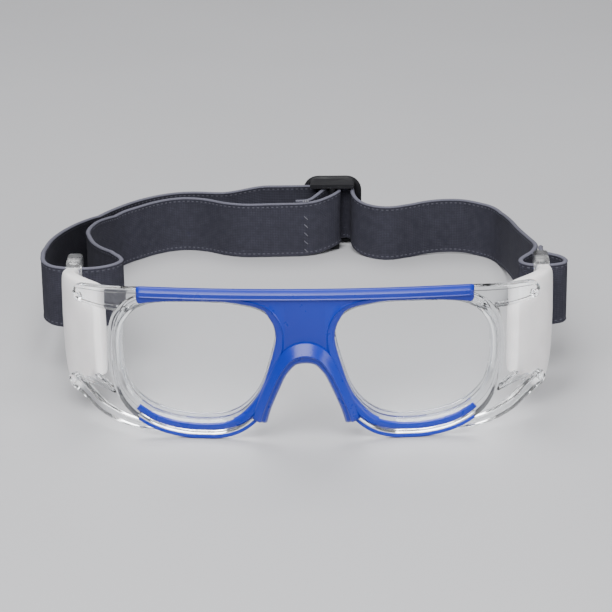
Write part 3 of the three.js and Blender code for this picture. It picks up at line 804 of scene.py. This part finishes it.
def buckle():
    """Three bars in one moulding: a rounded frame behind the strap and the centre bar in front of it."""
    middle_z = BUCKLE_HEIGHT / 2
    half = BUCKLE_THICKNESS / 2
    window = (BUCKLE_WIDTH - 2 * BUCKLE_BAR, STRAP_WIDTH + 1)
    rounding = [(-half, 0.7), (-half + 0.25, 0.22), (-half + 0.7, 0), (half - 0.7, 0),
                (half - 0.25, 0.22), (half, 0.7)]
    rings = []
    for y, inset in rounding:
        rings.append([(BUCKLE_X + a, BUCKLE_Y + y, middle_z + up)
                      for a, up in buckle_ring(BUCKLE_WIDTH, BUCKLE_HEIGHT, BUCKLE_CORNER, inset)])
    for y, inset in reversed(rounding):
        rings.append([(BUCKLE_X + a, BUCKLE_Y + y, middle_z + up)
                      for a, up in buckle_ring(*window, 1.5, -inset * 0.8)])
    body = loft("slide_buckle", rings, closed=True)
    cheek_height = (BUCKLE_HEIGHT - STRAP_WIDTH - 1) / 2
    others = []
    top_cheek = BUCKLE_HEIGHT - cheek_height
    cheeks = [
        (0.2, cheek_height, LOWER_CHEEK_HALF),
        (top_cheek, BUCKLE_HEIGHT - 0.6, BUCKLE_WIDTH / 2 - 2.6),
    ]
    for low, high, wide in cheeks:
        shape = rounded_section(wide, (high - low) / 2, 0.5)
        ends = (CENTRE_BAR_Y - CENTRE_BAR_RADIUS, BUCKLE_Y)
        others.append(loft("cheek", [[(BUCKLE_X + a, y, (low + high) / 2 + up) for a, up in shape]
                                     for y in ends]))
    around = 24
    others.append(loft("bar", [
        [(BUCKLE_X + CENTRE_BAR_RADIUS * math.cos(2 * math.pi * k / around),
          CENTRE_BAR_Y + CENTRE_BAR_RADIUS * math.sin(2 * math.pi * k / around), z)
         for k in range(around)] for z in (1, BUCKLE_HEIGHT - 1)
    ]))
    combine(body, others, "UNION")
    shade(body, 35)
    return body


# ---- materials ----------------------------------------------------------------------------------


class Finish:
    """A material with one Principled shader, and short ways to add nodes to it."""

    def __init__(self, name, colour, roughness, **sockets):
        self.material = bpy.data.materials.new(name)
        self.material.use_nodes = True
        self.tree = self.material.node_tree
        self.shader = self.tree.nodes["Principled BSDF"]
        self.shader.inputs["Base Color"].default_value = (*colour, 1)
        self.shader.inputs["Roughness"].default_value = roughness
        for socket, value in sockets.items():
            self.shader.inputs[socket.replace("_", " ")].default_value = value

    def node(self, kind, **settings):
        made = self.tree.nodes.new(kind)
        for key, value in settings.items():
            if hasattr(made, key):
                setattr(made, key, value)
            else:
                made.inputs[key.replace("_", " ")].default_value = value
        return made

    def link(self, source, target):
        self.tree.links.new(source, target)

    def coordinates(self):
        return self.node("ShaderNodeNewGeometry").outputs["Position"]

    def noise(self, scale, detail=3, vector=None):
        made = self.node("ShaderNodeTexNoise", Scale=scale, Detail=detail)
        self.link(vector or self.coordinates(), made.inputs["Vector"])
        return made.outputs["Fac"]

    def ranged(self, value, low, high, from_low=0.3, from_high=0.7):
        made = self.node("ShaderNodeMapRange")
        for socket, number in zip(("From Min", "From Max", "To Min", "To Max"),
                                  (from_low, from_high, low, high)):
            made.inputs[socket].default_value = number
        self.link(value, made.inputs["Value"])
        return made.outputs["Result"]

    def bump(self, height, distance, strength=1.0, normal=None):
        made = self.node("ShaderNodeBump", Distance=distance, Strength=strength)
        self.link(height, made.inputs["Height"])
        if normal:
            self.link(normal, made.inputs["Normal"])
        return made.outputs["Normal"]

    def blend(self, factor, first, second):
        made = self.node("ShaderNodeMix", data_type="RGBA")
        for socket, value in ((made.inputs[6], first), (made.inputs[7], second)):
            if isinstance(value, tuple):
                socket.default_value = (*value, 1)
            else:
                self.link(value, socket)
        self.link(factor, made.inputs[0])
        return made.outputs[2]

    def maths(self, operation, first, second=None):
        made = self.node("ShaderNodeMath", operation=operation)
        for socket, value in zip(made.inputs, (first, second)):
            if value is None:
                continue
            if isinstance(value, (int, float)):
                socket.default_value = value
            else:
                self.link(value, socket)
        return made.outputs[0]

    def lets_lamps_through(self):
        """Shadow rays pass straight through, so what lies behind clear plastic is lit."""
        path = self.node("ShaderNodeLightPath")
        clear = self.node("ShaderNodeBsdfTransparent")
        mixed = self.node("ShaderNodeMixShader")
        self.link(path.outputs["Is Shadow Ray"], mixed.inputs[0])
        self.link(self.shader.outputs[0], mixed.inputs[1])
        self.link(clear.outputs[0], mixed.inputs[2])
        self.link(mixed.outputs[0], self.tree.nodes["Material Output"].inputs["Surface"])


def clear_plastic(name, roughness, tint):
    finish = Finish(name, tint, roughness, Transmission_Weight=1.0, IOR=1.58)
    patches = finish.noise(180, 4)
    finish.link(finish.ranged(patches, roughness * 0.6, roughness * 1.6), finish.shader.inputs["Roughness"])
    finish.link(finish.bump(finish.noise(90, 2), 0.00008, 0.3), finish.shader.inputs["Normal"])
    finish.lets_lamps_through()
    return finish.material


def lens_plastic():
    finish = Finish("lens_clear", (0.985, 0.992, 0.995), 0.01, Transmission_Weight=1.0, IOR=1.25)
    finish.link(finish.ranged(finish.noise(60, 5), 0.0, 0.035), finish.shader.inputs["Roughness"])
    finish.lets_lamps_through()
    return finish.material


def blue_plastic():
    finish = Finish("blue_gloss", (0.007, 0.022, 0.31), 0.28, Specular_IOR_Level=0.4)
    cloud = finish.noise(30, 2)
    finish.link(finish.blend(finish.ranged(cloud, 0, 1), (0.006, 0.019, 0.28), (0.008, 0.025, 0.34)),
                finish.shader.inputs["Base Color"])
    finish.link(finish.ranged(finish.noise(260, 4), 0.27, 0.31), finish.shader.inputs["Roughness"])
    grain = finish.bump(finish.noise(2600, 2), 0.00001, 0.4)
    finish.link(grain, finish.shader.inputs["Normal"])
    return finish.material


def silicone():
    finish = Finish("frosted_silicone", (0.72, 0.70, 0.70), 0.42, Subsurface_Weight=0.4,
                    Subsurface_Scale=0.003)
    finish.shader.inputs["Subsurface Radius"].default_value = (1.0, 0.9, 0.85)
    cloud = finish.noise(110, 4)
    finish.link(finish.blend(finish.ranged(cloud, 0, 1), (0.80, 0.78, 0.785), (0.90, 0.88, 0.88)),
                finish.shader.inputs["Base Color"])
    finish.link(finish.ranged(finish.noise(500, 3), 0.34, 0.52), finish.shader.inputs["Roughness"])
    finish.link(finish.bump(finish.noise(3200, 3), 0.00003, 0.5), finish.shader.inputs["Normal"])
    return finish.material


def black_plastic():
    finish = Finish("black_acetal", (0.008, 0.008, 0.01), 0.5, Specular_IOR_Level=0.22)
    finish.link(finish.ranged(finish.noise(400, 4), 0.42, 0.58), finish.shader.inputs["Roughness"])
    finish.link(finish.bump(finish.noise(2400, 3), 0.00003, 0.6), finish.shader.inputs["Normal"])
    return finish.material


WEBBING_PITCH = 0.62          # between ribs along the strap, mm
PICK_PITCH = 0.9              # between weft picks across it, mm
SEAM_UP = STRAP_WIDTH / 2 - 1.3
SEAM_PITCH = 1.7              # between stitches along each edge, mm


def webbing():
    finish = Finish("elastic_webbing", (0.03, 0.03, 0.04), 0.92, Specular_IOR_Level=0.2)
    uv = finish.node("ShaderNodeUVMap", uv_map="webbing").outputs["UV"]
    split = finish.node("ShaderNodeSeparateXYZ")
    finish.link(uv, split.inputs[0])
    along, up = split.outputs[0], split.outputs[1]
    unit = MM * 10
    ribs = finish.maths("SINE", finish.maths("MULTIPLY", up, 2 * math.pi / (WEBBING_PITCH * unit)))
    picks = finish.maths("SINE", finish.maths("MULTIPLY", along, 2 * math.pi / (PICK_PITCH * unit)))
    weave = finish.maths("ADD", ribs, finish.maths("MULTIPLY", picks, 0.6))
    from_middle = finish.maths("ABSOLUTE", finish.maths("SUBTRACT", up, STRAP_WIDTH / 2 * unit))
    edge = finish.ranged(from_middle, 0, 1, (STRAP_WIDTH / 2 - 0.55) * unit, (STRAP_WIDTH / 2 - 0.25) * unit)
    mottle = finish.ranged(finish.noise(420, 4), 0, 1)
    body = finish.blend(mottle, (0.026, 0.026, 0.037), (0.042, 0.042, 0.058))
    thread = finish.blend(finish.ranged(weave, 0, 1, -1.6, 1.6), (0.025, 0.025, 0.035), body)
    off_seam = finish.maths("ABSOLUTE", finish.maths("SUBTRACT", from_middle, SEAM_UP * unit))
    dashes = finish.maths("SINE", finish.maths("MULTIPLY", along, 2 * math.pi / (SEAM_PITCH * unit)))
    seam = finish.maths("MULTIPLY", finish.ranged(off_seam, 1, 0, 0.1 * unit, 0.25 * unit),
                        finish.ranged(dashes, 0, 1, -0.1, 0.3))
    sewn = finish.blend(seam, thread, (0.085, 0.085, 0.108))
    fuzz = finish.bump(finish.noise(2600, 3), 0.0001, 0.4)
    finish.link(finish.blend(edge, sewn, (0.11, 0.11, 0.14)), finish.shader.inputs["Base Color"])
    finish.link(finish.bump(weave, 0.00007, 0.5, fuzz), finish.shader.inputs["Normal"])
    return finish.material


def thread_material():
    finish = Finish("sewing_thread", (0.09, 0.09, 0.115), 0.7, Sheen_Weight=0.3)
    finish.link(finish.bump(finish.noise(3000, 2), 0.00005, 0.5), finish.shader.inputs["Normal"])
    return finish.material


# ---- stitching ----------------------------------------------------------------------------------


def stitch(start, end, radius):
    """One raised stitch: a short straight bar of thread, tapered at both ends."""
    start, end = Vector(start), Vector(end)
    axis = (end - start).normalized()
    out = axis.orthogonal().normalized()
    other = axis.cross(out)
    sections = []
    for share, size in ((0, 0.25), (0.1, 0.8), (0.5, 1), (0.9, 0.8), (1, 0.25)):
        p = start.lerp(end, share)
        sections.append([p + (out * math.cos(a) + other * math.sin(a)) * radius * size
                         for a in (2 * math.pi * k / 6 for k in range(6))])
    return loft_data(sections)


def stitch_row(name, curve, distance, side, pitch=3.1, slant=1.4, margin=1.2):
    """Slanting stitches sewn across the strap at a distance along its route, and over its top edge."""
    share = distance / curve.length
    p, t = curve.at(share), curve.tangent(share)
    normal = Vector((t.y, -t.x, 0)).normalized() * side
    low = strap_low(p)
    face = p + normal * (STRAP_THICKNESS / 2 * 0.9)
    bars = []
    for i in range(int((STRAP_WIDTH - 2 * margin) / pitch)):
        z = low + margin + i * pitch
        a = face + t * (slant / 2) + Vector((0, 0, z))
        b = face - t * (slant / 2) + Vector((0, 0, z + slant))
        bars.append(stitch(a, b, 0.2))
    for k in range(-1, 2):
        a = face + t * (0.8 * k) + Vector((0, 0, low + STRAP_WIDTH + 0.1))
        bars.append(stitch(a, a - normal * (STRAP_THICKNESS * 2) + t * 0.5, 0.28))
    points, faces = [], []
    for more, quads in bars:
        faces += [tuple(len(points) + k for k in quad) for quad in quads]
        points += more
    return mesh_object(name, points, faces, sharp=80)


# ---- assembly -----------------------------------------------------------------------------------


def dress(thing, body, slot, material, *nodes):
    thing.data.materials.clear()
    thing.data.materials.append(material)
    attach(thing, body)
    if nodes:
        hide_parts(*nodes)
    return thing


CLEAR = clear_plastic("clear_polycarbonate", 0.05, (0.93, 0.945, 0.955))
FROSTED_CLEAR = clear_plastic("tab_polycarbonate", 0.22, (0.86, 0.865, 0.875))
LENS = lens_plastic()
BLUE = blue_plastic()
SILICONE = silicone()
BLACK = black_plastic()
WEBBING = webbing()
THREAD = thread_material()

dress(front_frame(), "frame", "clear_plastic", CLEAR, "front_frame")
dress(brow_cover(), "frame", "blue_plastic", BLUE, "brow_cover")
dress(nose_pad(), "frame", "blue_plastic", BLUE, "nose_pad")

for word, sign in (("left", 1), ("right", -1)):
    dress(loft(f"clear_lens_{word}", lens(sign), sharp=30), "frame", "lens", LENS, f"lens_{word}")
    dress(lower_trim(f"rim_trim_{word}", sign), "frame", "blue_plastic", BLUE, f"lower_trim_{word}")
    dress(temple_tab(f"slotted_tab_{word}", sign), "frame", "clear_plastic", FROSTED_CLEAR,
          f"temple_blade_{word}")
    pad = dress(temple_pad(f"silicone_pad_{word}", sign), "frame", "silicone", SILICONE,
                f"temple_pad_{word}")
    for level, (share, height) in PINS.items():
        dress(pin(f"{level}_rivet_{word}", sign, share, height), "frame", "clear_plastic", CLEAR,
              f"{level}_pin_{word}")

BLEND_FROM_Y, BLEND_TO_Y = 55, 88
BUNCH_FROM_X, BUNCH_TO_X = -72, -12


def strap_piece(name, route, body, ends, *nodes):
    """A stretch of webbing along its route. ends is not used."""
    thing, curve = ribbon(name, route)
    thing.data.materials.append(WEBBING)
    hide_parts(*nodes)
    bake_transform(thing)
    return curve


swing_ends = ((0, BLEND_FROM_Y, STRAP_TEMPLE_Z), (0, BLEND_TO_Y, STRAP_TEMPLE_Z))
bunch_ends = ((BUNCH_FROM_X, 160, STRAP_WIDTH / 2), (BUNCH_TO_X, 160, STRAP_WIDTH / 2))
strap_piece("long_strap", LONG_STRAP, ("frame", "strap"), swing_ends, "strap_outer_run",
            "strap_single_run", "strap_anchor_right", "strap_anchor_left")
inner = strap_piece("inner_strap", INNER_STRAP, ("strap", "buckle"), bunch_ends,
                    "strap_inner_run", "strap_sewn_end")
dress(buckle(), "buckle", "black_plastic", BLACK, "tri_glide_buckle")

SEAM_X = -2.7
sewn_at = min((s / 400 for s in range(200, 330)), key=lambda s: abs(inner.at(s).x - SEAM_X))
dress(stitch_row("buckle_stitches", inner, sewn_at * inner.length, 1), "buckle", "elastic", THREAD)

# ---- floor and light ----------------------------------------------------------------------------


def add_floor():
    bpy.ops.mesh.primitive_plane_add(size=6, location=(0, 0, 0))
    floor = bpy.context.object
    floor.name = "floor"
    finish = Finish("pale_floor", (0.44, 0.44, 0.455), 0.6)
    finish.link(finish.ranged(finish.noise(12, 4), 0.55, 0.65), finish.shader.inputs["Roughness"])
    floor.data.materials.append(finish.material)


def add_light(name, location, size, power):
    light = bpy.data.lights.new(name, "AREA")
    light.size = size
    light.energy = power
    thing = bpy.data.objects.new(name, light)
    bpy.context.collection.objects.link(thing)
    thing.location = location
    thing.rotation_euler = (Vector((0, 0, 0.02)) - thing.location).to_track_quat("-Z", "Y").to_euler()


add_floor()
add_light("key", Vector((-0.1, -0.65, 0.85)), 0.8, 22)
add_light("fill", Vector((0.85, -0.5, 0.35)), 0.4, 3)
add_light("back", Vector((-0.1, 0.5, 1)), 0.7, 8)
world = bpy.data.worlds.new("studio")
world.use_nodes = True
world.node_tree.nodes["Background"].inputs["Color"].default_value = (0.86, 0.87, 0.9, 1)
world.node_tree.nodes["Background"].inputs["Strength"].default_value = 0.2
bpy.context.scene.world = world
